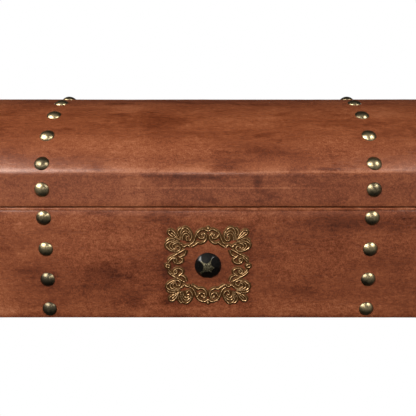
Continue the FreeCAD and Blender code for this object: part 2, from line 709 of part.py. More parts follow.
for side_name, low, high in (("left", "-half_length - overrun", "-core_half_length"),
                             ("right", "core_half_length", "half_length + overrun")):
    rim_x = (("-core_half_length", "-mouth_half_length") if side_name == "left"
             else ("mouth_half_length", "core_half_length"))
    flange_x = (("-inner_half_length", "-mouth_half_length") if side_name == "left"
                else ("mouth_half_length", "inner_half_length"))
    end_zone = block("lid_end_zone", (low, high), about("half_depth"), ("lid_bottom - overrun", "lid_top"))
    rim_zone = block("lid_rim_zone", rim_x, mouth_y, rim_z)
    lid_wrap = cut("lid_wrap", lid_wrap, common("lid_end_opening", end_window, end_zone), rim_zone)
    flange = block("lid_end_turn_in", flange_x, about("mouth_half_depth - seam_gap"), turn_in_z)
    plate = common("lid_end_plate", lid_shell, end_panel, end_zone)
    rim = common("lid_end_rim", lid_shell,
                 block("lid_end_rim_zone", rim_x, about("mouth_half_depth - seam_gap"), rim_z))
    node(f"lid_leather_{side_name}", fuse(f"lid_leather_{side_name}", plate, rim, flange))
node("lid_leather_top", lid_wrap)

# Lid lining
# A curved card under the panel, and flat cards on the rails and ends above the turned-in leather.

under_lining = rod("under_lining", "barrel_lining_radius", full_x, "0", "barrel_axis_height")
clear_of_lining = rod("clear_of_lining", "barrel_lining_radius - lining_gap", full_x, "0",
                      "barrel_axis_height")
lid_lining_z = ("lid_turn_in_end + lining_gap", "lid_top")
top_blank = block("lid_lining_blank", inner_x, inner_y, lid_lining_z)
node("lid_lining_top", cut("lid_lining_top", common("lid_lining_disc", top_blank, under_panel), under_lining))
front_card = block("lid_front_card", inner_x, ("-inner_half_depth", "lining_thickness - inner_half_depth"),
                   lid_lining_z)
back_card = block("lid_back_card", inner_x, ("inner_half_depth - lining_thickness", "inner_half_depth"),
                  lid_lining_z)
left_card = block("lid_left_card", ("-inner_half_length", "lining_thickness - inner_half_length"),
                  about(lined_half_depth), lid_lining_z)
right_card = block("lid_right_card", ("inner_half_length - lining_thickness", "inner_half_length"),
                   about(lined_half_depth), lid_lining_z)
node("lid_lining_front", common("lid_lining_front", front_card, clear_of_lining))
node("lid_lining_back", common("lid_lining_back", back_card, clear_of_lining))
node("lid_lining_left", common("lid_lining_left", left_card, clear_of_lining))
node("lid_lining_right", common("lid_lining_right", right_card, clear_of_lining))

# Every object is sound before any piece is written.
doc.recompute()
faults = [item.Name for item in doc.Objects if {"Invalid", "Error"} & set(item.State)]
faults += [item.Label for item in NODES if item.Shape.isNull() or not item.Shape.isValid()]
if faults:
    raise RuntimeError("these objects failed: " + ", ".join(faults))
os.makedirs("parts", exist_ok=True)
for item in NODES:
    solids = item.Shape.Solids
    print(f"{item.Label}: {len(solids)} solids, {item.Shape.Volume:.1f} mm3")
    item.Shape.exportStep(f"parts/{item.Label}.step")
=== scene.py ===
"""Barrel-top leather box for papers and keepsakes: the looks of each piece, in the order of assembly.

Metres, in the frame of the solids: the origin is the middle of the underside, +Z is up, the front faces -Y.
"""
import json
import math

import bmesh
import bpy
from mathutils import Matrix, Vector, noise


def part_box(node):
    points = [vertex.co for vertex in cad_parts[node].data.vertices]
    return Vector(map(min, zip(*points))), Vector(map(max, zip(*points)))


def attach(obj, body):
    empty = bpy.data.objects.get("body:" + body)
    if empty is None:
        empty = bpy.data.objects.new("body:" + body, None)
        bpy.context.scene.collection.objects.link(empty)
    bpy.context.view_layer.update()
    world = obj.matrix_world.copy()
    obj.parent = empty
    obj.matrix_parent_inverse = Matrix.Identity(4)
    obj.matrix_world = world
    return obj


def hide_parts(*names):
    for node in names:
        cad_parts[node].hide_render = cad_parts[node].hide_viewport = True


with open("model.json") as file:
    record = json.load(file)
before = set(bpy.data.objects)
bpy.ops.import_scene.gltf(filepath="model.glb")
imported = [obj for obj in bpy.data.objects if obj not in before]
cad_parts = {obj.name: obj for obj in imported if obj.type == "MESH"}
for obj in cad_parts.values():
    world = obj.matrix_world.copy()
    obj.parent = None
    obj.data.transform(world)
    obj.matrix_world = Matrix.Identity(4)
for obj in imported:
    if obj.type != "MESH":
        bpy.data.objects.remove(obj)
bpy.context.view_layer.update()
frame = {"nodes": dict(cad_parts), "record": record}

# Wooden carcass
# Planed softwood boards, glued: four walls and a floor below, two rails, two arched ends and a bent panel
# above. The leather and the linings hide nearly all of it, so the solids stay and get their grain.


class Tone:
    """A value in a material's node tree; sums on it add the Math nodes that work it out."""

    def __init__(self, tree, socket=None):
        self.tree = tree
        self.socket = socket

    def node(self, kind, settings=None, sockets=None, output=0):
        """Add a node: its settings first, then the values or links of its sockets."""
        made = self.tree.nodes.new("ShaderNode" + kind)
        for name, setting in (settings or {}).items():
            if name == "stops":
                ramp = made.color_ramp.elements
                while len(ramp) < len(setting):
                    ramp.new(1)
                for stop, (position, colour) in zip(ramp, setting):
                    stop.position = position
                    stop.color = colour
            else:
                setattr(made, name, setting)
        for key, value in (sockets or {}).items():
            if isinstance(value, Tone):
                self.tree.links.new(value.socket, made.inputs[key])
            else:
                made.inputs[key].default_value = value
        return Tone(self.tree, made.outputs[output] if made.outputs else None)

    def math(self, operation, *others):
        """A sum that starts with this value."""
        return self.node("Math", {"operation": operation}, dict(enumerate((self, *others))))

    def __add__(self, other):
        return self.math("ADD", other)

    __radd__ = __add__

    def __sub__(self, other):
        return self.math("SUBTRACT", other)

    def __rsub__(self, other):
        return self.node("Math", {"operation": "SUBTRACT"}, {0: other, 1: self})

    def __mul__(self, other):
        return self.math("MULTIPLY", other)

    __rmul__ = __mul__

    def speckle(self, scale, detail=3.0, roughness=0.6):
        """Cloudy noise at this place, in blots per metre."""
        sockets = {"Vector": self, "Scale": scale, "Detail": detail, "Roughness": roughness}
        return self.node("TexNoise", None, sockets)

    def vector(self, operation, *others, output="Vector"):
        """A vector sum that starts with this place."""
        return self.node("VectorMath", {"operation": operation}, dict(enumerate((self, *others))), output)

    def stretched(self, x, y, z):
        return self.vector("MULTIPLY", (x, y, z))

    def length(self):
        return self.vector("LENGTH", output="Value")

    def axis(self, name):
        """One coordinate of this place: X, Y or Z."""
        return self.node("SeparateXYZ", None, {"Vector": self}, name)

    def ramp(self, *stops):
        """A colour that follows this value through (position, colour) stops."""
        coloured = [(position, (*colour, 1)) for position, colour in stops]
        return self.node("ValToRGB", {"stops": coloured}, {"Fac": self})

    def rise(self, low, high):
        """A soft step from 0 at low to 1 at high."""
        return self.node("MapRange", {"interpolation_type": "SMOOTHSTEP"},
                         {"Value": self, "From Min": low, "From Max": high})

    def blend(self, first, second):
        """The first colour where this value is 0, the second where it is 1."""
        return self.node("Mix", {"data_type": "RGBA"}, {0: self, 6: first, 7: second}, output=2)

    def bump(self, distance, strength=1.0):
        return self.node("Bump", None, {"Height": self, "Distance": distance, "Strength": strength})

    def surface(self, sockets):
        """Close the material with one shader."""
        shader = self.node("BsdfPrincipled", None, sockets)
        self.node("OutputMaterial", None, {"Surface": shader})


def new_finish(name):
    """An empty material, the start of its nodes and the place on the object that they read."""
    finish = bpy.data.materials.new(name)
    finish.use_nodes = True
    finish.node_tree.nodes.clear()
    start = Tone(finish.node_tree)
    return finish, start.node("TexCoord", output="Object")


def softwood_finish():
    finish, place = new_finish("softwood")
    rings = place.stretched(0.06, 1, 1).speckle(220, detail=2, roughness=0.5)
    fibre = place.stretched(0.04, 1, 1).speckle(1800)
    tone = rings * 0.7 + fibre * 0.3
    colour = tone.ramp((0.3, (0.25, 0.13, 0.06)), (0.5, (0.42, 0.26, 0.13)), (0.7, (0.55, 0.37, 0.21)))
    place.surface({"Base Color": colour, "Roughness": 0.75 - fibre * 0.2,
                   "Normal": fibre.bump(0.0002, 0.4)})
    return finish


softwood = softwood_finish()
for part in frame["record"]["subparts"]:
    if part["material_slot"] == "carcass_wood":
        frame["nodes"][part["node"]].material_slots[0].material = softwood

# Base leather
# One strip of vegetable-tanned hide, dyed reddish brown, pasted round the walls with its lap behind. It is
# rolled over the rim into the mouth, with a groove pressed below the roll, and turned under the floor.

CORNER_ROUND = 0.003
CORNER_STEPS = 6
EDGE_ROLL = 0.0006
EDGE_STEPS = 4
RIM_WIDTH = 0.0118
TURN_IN = 0.0114
TURN_UNDER = 0.0146
GROOVE_DROP = 0.0022
GROOVE_HALF = 0.0005
GROOVE_DEPTH = 0.00035
SEAM_X = 0.0
SEAM_STEP = 0.00035
SEAM_HALF = 0.0004
SEAM_DARK = -2.2
FOOT_DARK = -1.4
HIDE_THICKNESS = 0.0012
HIDE_PITCH = 0.005
BASE_WAVE = 0.00012
# Waves of the skin per metre, long ones along X, Y and Z and short ones every way.
LONG_WAVES = Vector((14, 40, 40))
SHORT_WAVES = 110
# Cosine of the largest angle between a direction and a face that looks along it.
FACING = 0.99
# Distances that count as none, between two places and in a cut or a merge.
CLOSE = 1e-5
CUT_CLOSE = CLOSE / 10

# Marks on the hide: the middle, half size and strength of each. A negative strength makes the hide paler.
# Marks named shade are painted shade; those with a comment above them are what it says; the rest are stains,
# dye and marks of use.
MARKS = {
    "smudge": ((-0.075, -0.090, 0.035), (0.026, 0.004, 0.014), 0.14),
    "smudge_tail": ((-0.052, -0.090, 0.040), (0.034, 0.004, 0.010), 0.06),
    "wall_spot": ((0.036, -0.090, 0.1055), (0.005, 0.004, 0.006), 0.18),
    "wall_band": ((-0.020, -0.090, 0.108), (0.036, 0.004, 0.0045), 0.13),
    "shoulder_crease": ((0.086, -0.089, 0.1140), (0.014, 0.004, 0.0016), 0.22),
    "barrel_streak": ((0.042, -0.080, 0.1270), (0.024, 0.006, 0.005), 0.14),
    "barrel_cloud": ((-0.045, -0.055, 0.1480), (0.040, 0.018, 0.009), 0.11),
    # Painted highlight: a pale line along the shoulder's crease, where the lamp in front catches it.
    "painted_shoulder_highlight": ((0.020, -0.0895, 0.1121), (0.260, 0.004, 0.0009), -0.12),
    "shoulder_shade": ((0.000, -0.090, 0.1090), (0.150, 0.004, 0.0018), 0.08),
    "pale_fold": ((0.016, -0.090, 0.1006), (0.110, 0.004, 0.0006), -0.15),
    # Painted shade: the crown of the barrel darker, turned away from the lamps.
    "painted_shade_crown": ((0.010, 0.000, 0.1700), (0.300, 0.075, 0.022), 0.09),
    # Painted shade: the front wall darker over its middle.
    "painted_shade_front": ((0.030, -0.090, 0.0440), (0.300, 0.004, 0.045), 0.060),
    # Darker towards the bottom along the foot.
    "dark_foot": ((0.060, -0.090, 0.0000), (0.600, 0.004, 0.0030), 0.16),
    "pale_foot": ((-0.165, -0.090, 0.0060), (0.060, 0.004, 0.0045), -0.09),
    "rim_shade": ((0.115, -0.090, 0.0765), (0.120, 0.004, 0.0085), 0.11),
    "lid_wall_shade": ((0.110, -0.090, 0.0985), (0.180, 0.004, 0.0170), 0.05),
    # Painted light: the far left of the front paler, where the left lamp falls strongest.
    "painted_light_left": ((-0.170, -0.090, 0.0300), (0.040, 0.004, 0.0350), -0.05),
}
# Heights and depths between which the hide's gloss changes.
LID_WALL_FOOT = (0.0860, 0.0866)
LID_WALL_HEAD = (0.1065, 0.1110)
FRONT_TO_BACK = (-0.025, 0.010)


def shade_round_ornament(place):
    """1 in the square band round the ornament's edge, where painted shade darkens the hide; 0 elsewhere."""
    low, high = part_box("filigree")
    half = (high - low) / 2
    from_centre = place.vector("SUBTRACT", (low + high) / 2)
    shares = from_centre.stretched(1 / half.x, 1 / half.x, 1 / half.z).vector("ABSOLUTE")
    x, y, z = (shares.axis(name) for name in "XYZ")
    reach = x.math("MAXIMUM", z).math("MAXIMUM", y) + (place.speckle(260) - 0.5) * 0.3
    return reach.rise(0.50, 0.68) * (1 - reach.rise(0.98, 1.14))


def leather_finish():
    """Mottled hide: streaks along the box, cloudy dye, handling marks, pores and rubbed edges, with painted
    shade and painted light in places.
    """
    finish, place = new_finish("leather")
    cloud = place.speckle(24, detail=5, roughness=0.62)
    streak = place.stretched(0.16, 1, 1).speckle(75, detail=5, roughness=0.62)
    dye = place.stretched(0.32, 1, 1).speckle(95, detail=5, roughness=0.66)
    fleck = place.stretched(0.6, 1, 1).speckle(480, detail=3, roughness=0.65)
    pores = place.speckle(1150, detail=2, roughness=0.7)
    tone = cloud * 0.32 + streak * 0.34 + fleck * 0.30 + pores * 0.50 - 0.21
    tone = tone - dye.rise(0.52, 0.76) * 0.16
    ragged = (place.speckle(130, detail=4) - 0.5) * 1.3
    for centre, half_size, strength in MARKS.values():
        shares = place.vector("SUBTRACT", centre).stretched(*(1 / half for half in half_size))
        tone = tone - (1 - (shares.length() + ragged).rise(0.1, 1.2)) * strength
    # Painted shade round the ornament, which stands proud of the hide.
    tone = tone - shade_round_ornament(place) * 0.075
    # The attribute holds real wear and dark seams, painted shade in the groove and along the end panels'
    # edges, and painted sheen on the shoulder and the rim roll.
    wear = place.node("Attribute", {"attribute_name": "wear"}, None, output="Fac")
    tone = tone + wear * 0.09
    colour = tone.ramp((0.22, (0.042, 0.0082, 0.0024)), (0.40, (0.108, 0.0250, 0.0084)),
                       (0.50, (0.160, 0.0425, 0.0158)), (0.58, (0.208, 0.0615, 0.0240)),
                       (0.72, (0.305, 0.1130, 0.0550)))
    height = pores * 0.5 + fleck * 0.8 + streak * 0.6
    behind = place.axis("Y").rise(*FRONT_TO_BACK)
    level = place.axis("Z")
    lid_wall = level.rise(*LID_WALL_FOOT) * (1 - level.rise(*LID_WALL_HEAD))
    dullness = 0.34 - streak * 0.14 + behind * 0.22 + lid_wall * 0.13
    place.surface({"Base Color": colour, "Roughness": dullness, "Specular IOR Level": 0.30,
                   "Normal": height.bump(0.00022, 0.4)})
    return finish


def largest_facing(bm, direction):
    bm.normal_update()
    return max((f for f in bm.faces if f.normal.dot(direction) > FACING), key=lambda f: f.calc_area())


def edges_where(bm, test):
    return [e for e in bm.edges if all(test(v.co) for v in e.verts)]


def bevel_edges(bm, edges, size, segments=3):
    bmesh.ops.bevel(bm, geom=edges, offset=size, segments=segments, profile=0.5, affect="EDGES", material=-1)


def all_of(bm):
    return bm.verts[:] + bm.edges[:] + bm.faces[:]


def slice_at(bm, axis, places):
    """Cut the mesh through at several places along one axis."""
    normal = Vector((axis == "x", axis == "y", axis == "z"))
    for at in places:
        bmesh.ops.bisect_plane(bm, geom=all_of(bm), plane_co=normal * at, plane_no=normal, dist=CUT_CLOSE)


def steps_between(low, high, pitch):
    count = round((high - low) / pitch)
    return [low + (high - low) * step / count for step in range(1, count)]


def block_between(low, high):
    """A plain block between two corners."""
    bm = bmesh.new()
    bmesh.ops.create_cube(bm, size=1)
    bmesh.ops.scale(bm, vec=high - low, verts=bm.verts)
    bmesh.ops.translate(bm, vec=(high + low) / 2, verts=bm.verts)
    return bm


def verts_in(made):
    """The vertices among the geometry that an operator gives back."""
    return [item for item in made["geom"] if isinstance(item, bmesh.types.BMVert)]


def line_inside(bm, margin):
    """Cut lines round the mesh, this far inside its four upright sides."""
    for index, axis in enumerate("xy"):
        half = max(vert.co[index] for vert in bm.verts) - margin
        slice_at(bm, axis, (-half, half))


def open_rim(bm, direction):
    """Roll the leather over a rim: a flat lip, a rounded mouth and a wall turned in, left open inside."""
    line_inside(bm, RIM_WIDTH)
    face = largest_facing(bm, direction)
    mouth = face.edges[:]
    walls = bmesh.ops.extrude_face_region(bm, geom=[face])
    inner = [item for item in walls["geom"] if isinstance(item, bmesh.types.BMFace)]
    bmesh.ops.translate(bm, vec=direction * -TURN_IN, verts=verts_in(walls))
    bmesh.ops.delete(bm, geom=[face] + inner, context="FACES")
    bevel_edges(bm, mouth, EDGE_ROLL / 2)


def stray(vert, middle, swing, waves):
    """A value that strays from its middle along the hide, in waves per metre."""
    return middle + swing * noise.noise(vert.co * waves)


def uneven(bm, depth):
    """Press the low waves of a hand-laid skin into the mesh."""
    bm.normal_update()
    for vert in bm.verts:
        wave = noise.noise(vert.co * LONG_WAVES) + 0.5 * noise.noise(vert.co * SHORT_WAVES)
        vert.co += vert.normal * (depth * wave)


def mesh_from(bm, name):
    mesh = bpy.data.meshes.new(name)
    bm.to_mesh(mesh)
    bm.free()
    return mesh


def new_object(name, data):
    made = bpy.data.objects.new(name, data)
    bpy.context.scene.collection.objects.link(made)
    return made


def set_piece(bm, name, finish, body, slot, *nodes, sharp=40):
    """Turn a finished mesh into a piece that rides on a body and stands for the solids named."""
    mesh = mesh_from(bm, name)
    mesh.shade_smooth()
    mesh.set_sharp_from_angle(angle=math.radians(sharp))
    mesh.materials.append(finish)
    piece = new_object(name, mesh)
    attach(piece, body)
    if nodes:
        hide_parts(*nodes)
    return piece


def give_thickness(piece):
    """Make a skin a closed sheet, with its back towards the wood."""
    wall = piece.modifiers.new("hide", "SOLIDIFY")
    wall.thickness = HIDE_THICKNESS
    wall.offset = -1


def make_base_leather():
    low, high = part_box("base_leather")
    bm = block_between(low, high)
    upright = [e for e in bm.edges if abs(e.verts[0].co.z - e.verts[1].co.z) > CORNER_ROUND]
    bevel_edges(bm, upright, CORNER_ROUND, CORNER_STEPS)
    level = edges_where(bm, lambda p: p.z > high.z - CLOSE) + edges_where(bm, lambda p: p.z < low.z + CLOSE)
    bevel_edges(bm, level, EDGE_ROLL, EDGE_STEPS)
    line_inside(bm, TURN_UNDER)
    bmesh.ops.delete(bm, geom=[largest_facing(bm, Vector((0, 0, -1)))], context="FACES")
    open_rim(bm, Vector((0, 0, 1)))
    slice_at(bm, "x", steps_between(low.x, high.x, HIDE_PITCH))
    slice_at(bm, "y", steps_between(low.y, high.y, HIDE_PITCH))
    groove = high.z - GROOVE_DROP
    slice_at(bm, "z", steps_between(low.z, groove - GROOVE_HALF, HIDE_PITCH))
    slice_at(bm, "z", (groove - GROOVE_HALF, groove, groove + GROOVE_HALF))
    slice_at(bm, "x", (SEAM_X - SEAM_HALF, SEAM_X, SEAM_X + SEAM_HALF))
    uneven(bm, BASE_WAVE)
    wear = bm.verts.layers.float.new("wear")
    for vert in bm.verts:
        behind = vert.co.y > high.y - EDGE_ROLL and vert.co.z < groove - GROOVE_HALF - CLOSE
        if behind and abs(vert.co.x - SEAM_X) < SEAM_HALF / 2:
            vert[wear] = SEAM_DARK
            continue
        if behind and vert.co.x < SEAM_X:
            vert.co.y += SEAM_STEP * (vert.co.x - low.x) / (SEAM_X - low.x)
        outer = abs(vert.co.x) > high.x - RIM_WIDTH / 2 or abs(vert.co.y) > high.y - RIM_WIDTH / 2
        # Painted shade: the pressed groove is also darkened.
        if outer and abs(vert.co.z - groove) < GROOVE_HALF / 2:
            pressed = stray(vert, middle=0.7, swing=0.6, waves=30)
            vert.co -= vert.normal * (GROOVE_DEPTH * pressed)
            vert[wear] = stray(vert, middle=-1.1, swing=-2.2, waves=25)
        # Darker along the foot.
        elif outer and vert.co.z < EDGE_ROLL:
            vert[wear] = FOOT_DARK
        # The roll above the groove is paler: partly rub, partly painted highlight where the roll faces up to
        # the lamps.
        elif outer and vert.co.z > groove + GROOVE_HALF / 2:
            vert[wear] = stray(vert, middle=0.8, swing=1.4, waves=130)
    return bm


leather = leather_finish()
base_leather = set_piece(make_base_leather(), "leather_base", leather, "base", "leather", "base_leather")
give_thickness(base_leather)

# Underside felt
# A sheet of dark wool felt, cut to the window that the turned-under leather leaves and pasted to the floor
# board. The box stands on it.

FELT_ROUND = 0.0004
FELT_PITCH = 0.02


def felt_finish():
    finish, place = new_finish("felt")
    fibre = place.speckle(2600, detail=4, roughness=0.75)
    tuft = place.speckle(260, detail=4)
    colour = (fibre * 0.6 + tuft * 0.4).ramp((0.3, (0.018, 0.010, 0.007)), (0.7, (0.075, 0.045, 0.030)))
    place.surface({"Base Color": colour, "Roughness": 0.97, "Sheen Weight": 0.4,
                   "Normal": fibre.bump(0.0005, 0.7)})
    return finish


def box_mesh(low, high, roundness, pitch):
    """A slab between two corners, with softened edges and faces cut small enough to be pressed uneven."""
    bm = block_between(low, high)
    bevel_edges(bm, bm.edges[:], roundness, segments=2)
    for index, axis in enumerate("xyz"):
        if high[index] - low[index] > 2 * pitch:
            slice_at(bm, axis, steps_between(low[index], high[index], pitch))
    return bm


felt_low, felt_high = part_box("base_felt")
felt_bm = box_mesh(felt_low, felt_high, FELT_ROUND, FELT_PITCH)
felt = set_piece(felt_bm, "felt_underside", felt_finish(), "base", "felt", "base_felt")

# Base lining
# Cards covered in plain-woven brown cloth and pasted in: one on the floor and one on each wall, up to the
# turned-in leather.

THREAD_PITCH = 0.0009
CARD_ROUND = 0.0004
CARD_PITCH = 0.012
CARD_WAVE = 0.00008


def cloth_finish():
    """A plain weave: each thread passes over and under its neighbours, with slubs and faded patches."""
    finish, place = new_finish("lining_cloth")
    across = place.node("UVMap", {"uv_map": "weave"})
    threads = across.stretched(1 / THREAD_PITCH, 1 / THREAD_PITCH, 1)
    warp = (threads.axis("X") * math.pi).math("SINE")
    weft = (threads.axis("Y") * math.pi).math("SINE")
    weave = warp * weft * 0.5 + 0.5
    slub = place.speckle(300, detail=4)
    fade = place.speckle(18, detail=4)
    tone = weave * 0.35 + slub * 0.35 + fade * 0.30
    colour = tone.ramp((0.25, (0.050, 0.017, 0.010)), (0.5, (0.120, 0.048, 0.028)),
                       (0.8, (0.21, 0.100, 0.062)))
    place.surface({"Base Color": colour, "Roughness": 0.9, "Sheen Weight": 0.08,
                   "Normal": (weave + slub * 0.4).bump(0.00025, 0.6)})
    return finish


def lay_weave(bm):
    """Run the threads straight along each flat side."""
    bm.normal_update()
    layer = bm.loops.layers.uv.new("weave")
    for face in bm.faces:
        drop = max(range(3), key=lambda axis: abs(face.normal[axis]))
        for loop in face.loops:
            loop[layer].uv = [loop.vert.co[axis] for axis in range(3) if axis != drop]


cloth = cloth_finish()
for side in ("floor", "front", "back", "left", "right"):
    card_bm = box_mesh(*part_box(f"base_lining_{side}"), CARD_ROUND, CARD_PITCH)
    uneven(card_bm, CARD_WAVE)
    lay_weave(card_bm)
    set_piece(card_bm, f"lining_base_{side}", cloth, "base", "lining_fabric", f"base_lining_{side}")

# Scroll ornament
# A square of thin brass, pierced and stamped into scrolls, petals and shell fans, then copper-washed and
# rubbed so that only the ridges shine. Small sprigs hold it to the leather.

# The strands of one quarter, in shares of half the ornament's width and height; the other three mirror it.
QUARTER_SHARES = {
    "petal": ((-0.675, 0.645), (-0.730, 0.779), (-0.793, 0.873), (-0.852, 0.916), (-0.900, 0.900),
              (-0.916, 0.852), (-0.873, 0.793), (-0.779, 0.730), (-0.645, 0.675)),
    "petal_vein": ((-0.700, 0.700), (-0.775, 0.775), (-0.845, 0.845)),
    "arch": ((-0.416, 0.560), (-0.357, 0.597), (-0.316, 0.674), (-0.276, 0.787), (-0.228, 0.873),
             (-0.165, 0.913), (-0.091, 0.935), (-0.043, 0.909), (0, 0.878)),
    "scroll": ((-0.390, 0.491), (-0.331, 0.527), (-0.276, 0.564), (-0.239, 0.602), (-0.191, 0.583),
               (-0.143, 0.588), (-0.091, 0.621), (-0.050, 0.674), (-0.039, 0.747), (-0.062, 0.812),
               (-0.102, 0.844)),
    "scroll_eye": ((-0.257, 0.808), (-0.224, 0.751), (-0.187, 0.710), (-0.143, 0.702), (-0.101, 0.718),
                   (-0.080, 0.759), (-0.095, 0.804), (-0.128, 0.816), (-0.150, 0.794), (-0.132, 0.771)),
    "side_ribbon": ((-0.549, 0.422), (-0.649, 0.361), (-0.752, 0.296), (-0.856, 0.235), (-0.911, 0.186),
                    (-0.934, 0.150)),
    "side_ribbon_edge": ((-0.767, 0.227), (-0.819, 0.211), (-0.867, 0.170), (-0.911, 0.117),
                         (-0.926, 0.081)),
    "side_scroll": ((-0.510, 0.406), (-0.525, 0.341), (-0.560, 0.284), (-0.605, 0.255), (-0.638, 0.239),
                    (-0.675, 0.247), (-0.693, 0.267)),
    "side_eye": ((-0.686, 0.247), (-0.638, 0.211), (-0.599, 0.170), (-0.597, 0.125), (-0.634, 0.087),
                 (-0.693, 0.063), (-0.752, 0.073), (-0.797, 0.115), (-0.806, 0.162), (-0.771, 0.196),
                 (-0.732, 0.174), (-0.736, 0.125), (-0.760, 0.133)),
    "corner_wave": ((-0.664, 0.568), (-0.612, 0.544), (-0.557, 0.491), (-0.527, 0.511), (-0.486, 0.537),
                    (-0.449, 0.523), (-0.418, 0.483)),
}
# Strands of the quarter that also mirror about its diagonal.
FAN_SHARES = {
    "fan_spur": ((-0.682, 0.771), (-0.699, 0.869), (-0.667, 0.938), (-0.625, 0.970)),
    "fan_rim": ((-0.650, 0.690), (-0.634, 0.852), (-0.590, 0.948), (-0.538, 0.978), (-0.483, 0.962),
                (-0.424, 0.897), (-0.383, 0.808), (-0.376, 0.731), (-0.404, 0.672), (-0.449, 0.648),
                (-0.494, 0.670), (-0.507, 0.718), (-0.484, 0.753), (-0.455, 0.739)),
    "fan_rib_outer": ((-0.625, 0.674), (-0.608, 0.796), (-0.575, 0.867), (-0.527, 0.895), (-0.472, 0.877),
                      (-0.426, 0.836), (-0.409, 0.763)),
    "fan_rib_inner": ((-0.597, 0.657), (-0.584, 0.755), (-0.549, 0.813), (-0.501, 0.828), (-0.457, 0.802),
                      (-0.436, 0.751)),
}
RIDGE_HEIGHT = 0.00100
# The low flange each side of a ridge is the stamped sheet; being wide and dark, it also stands in as painted
# shade round the strands.
RIDGE_SECTION = ((-0.00150, 0), (-0.00140, 0.00020), (-0.00036, 0.00028), (-0.00024, 0.00080),
                 (0, RIDGE_HEIGHT), (0.00024, 0.00080), (0.00036, 0.00028), (0.00140, 0.00020), (0.00150, 0))
STRAND_STEPS = 6
ORNAMENT_HALF_WIDTH = 0.0317
ORNAMENT_HALF_HEIGHT = 0.0301
SIDE_RING_SHARE = 0.945
SIDE_RING_RADIUS = 0.0013
TOP_BEAD_SHARE = 0.965
BEAD_RADIUS = 0.0005
RING_KNOTS = 8


def copper_wash_finish(front):
    """Dark patina in the hollows and on the flange, bright copper-gold on the rubbed ridges, by height above
    the leather; the flange's dark outer edge is also painted shade round the strands.
    """
    finish, place = new_finish("copper_washed_brass")
    height = (front - place.axis("Y")) * (1 / RIDGE_HEIGHT)
    spots = place.speckle(900, detail=4)
    rubbed = (height + (spots - 0.5) * 1.1).rise(0.68, 1.05)
    colour = rubbed.ramp((0.0, (0.075, 0.030, 0.005)), (0.45, (0.21, 0.100, 0.028)),
                         (1.0, (0.80, 0.52, 0.265)))
    place.surface({"Base Color": colour, "Metallic": 0.7, "Roughness": 0.5 - rubbed * 0.18,
                   "Normal": spots.bump(0.00008, 0.5)})
    return finish


def add_strand(curve, points):
    spline = curve.splines.new("BEZIER")
    spline.bezier_points.add(len(points) - 1)
    spline.resolution_u = STRAND_STEPS
    for knot, point in zip(spline.bezier_points, points):
        knot.co = (*point, 0)
        knot.handle_left_type = "AUTO"
        knot.handle_right_type = "AUTO"
    return spline


def ring_points(centre, radius):
    turns = (2 * math.pi * step / RING_KNOTS for step in range(RING_KNOTS))
    return [(centre[0] + radius * math.cos(turn), centre[1] + radius * math.sin(turn)) for turn in turns]


def stand_on_front(bm, x, y, z):
    """Turn a mesh that was made on the XY plane to face the front, at a place on it."""
    upright = Matrix.Translation((x, y, z)) @ Matrix.Rotation(math.pi / 2, 4, "X")
    bmesh.ops.transform(bm, matrix=upright, verts=bm.verts)


def make_filigree(low, high):
    """Sweep the ridge section along every strand and stand the result on the front."""
    section = bpy.data.curves.new("ridge_section", "CURVE")
    section.dimensions = "2D"
    edge = section.splines.new("POLY")
    edge.points.add(len(RIDGE_SECTION) - 1)
    edge.use_cyclic_u = True
    for point, (x, y) in zip(edge.points, RIDGE_SECTION):
        point.co = (x, y, 0, 1)
    section_object = new_object("ridge_section", section)

    curve = bpy.data.curves.new("strands", "CURVE")
    curve.dimensions = "2D"
    curve.fill_mode = "NONE"
    curve.bevel_mode = "OBJECT"
    curve.bevel_object = section_object
    curve.use_fill_caps = True
    quarter = list(QUARTER_SHARES.values()) + list(FAN_SHARES.values())
    quarter += [[(-v, -u) for u, v in strand] for strand in FAN_SHARES.values()]
    for across in (1, -1):
        for upright in (1, -1):
            for strand in quarter:
                add_strand(curve, [(across * u * ORNAMENT_HALF_WIDTH, upright * v * ORNAMENT_HALF_HEIGHT)
                                   for u, v in strand])
        ring = ring_points((across * SIDE_RING_SHARE * ORNAMENT_HALF_WIDTH, 0), SIDE_RING_RADIUS)
        add_strand(curve, ring).use_cyclic_u = True
        bead = ring_points((0, across * TOP_BEAD_SHARE * ORNAMENT_HALF_HEIGHT), BEAD_RADIUS)
        add_strand(curve, bead).use_cyclic_u = True
    strands = new_object("strands", curve)
    graph = bpy.context.evaluated_depsgraph_get()
    swept = bpy.data.meshes.new_from_object(strands.evaluated_get(graph), depsgraph=graph)
    bpy.data.objects.remove(strands)
    bpy.data.objects.remove(section_object)
    bm = bmesh.new()
    bm.from_mesh(swept)
    bmesh.ops.remove_doubles(bm, verts=bm.verts, dist=CUT_CLOSE)
    stand_on_front(bm, 0, high.y, (low.z + high.z) / 2)
    bmesh.ops.recalc_face_normals(bm, faces=bm.faces)
    return bm


filigree_low, filigree_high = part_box("filigree")
filigree_bm = make_filigree(filigree_low, filigree_high)
copper_wash = copper_wash_finish(filigree_high.y)
set_piece(filigree_bm, "filigree_scrolls", copper_wash, "base", "filigree_brass", "filigree", sharp=60)

# Faceted boss
# A black japanned nail head. Five round flats are ground round its crown; the star of dome that is left
# between them is rubbed back to grey metal. Its shank goes through the ornament into the front board.

FLAT_TILT = math.radians(36.5)
# Turn about the crown and half angle of each flat, in degrees.
FLATS = ((101, 19.5), (180, 20), (267, 22.5), (329, 18.5), (30, 20.5))
FLAT_EASE = 0.00022
BOSS_STEPS = 96
BOSS_BANDS = 24


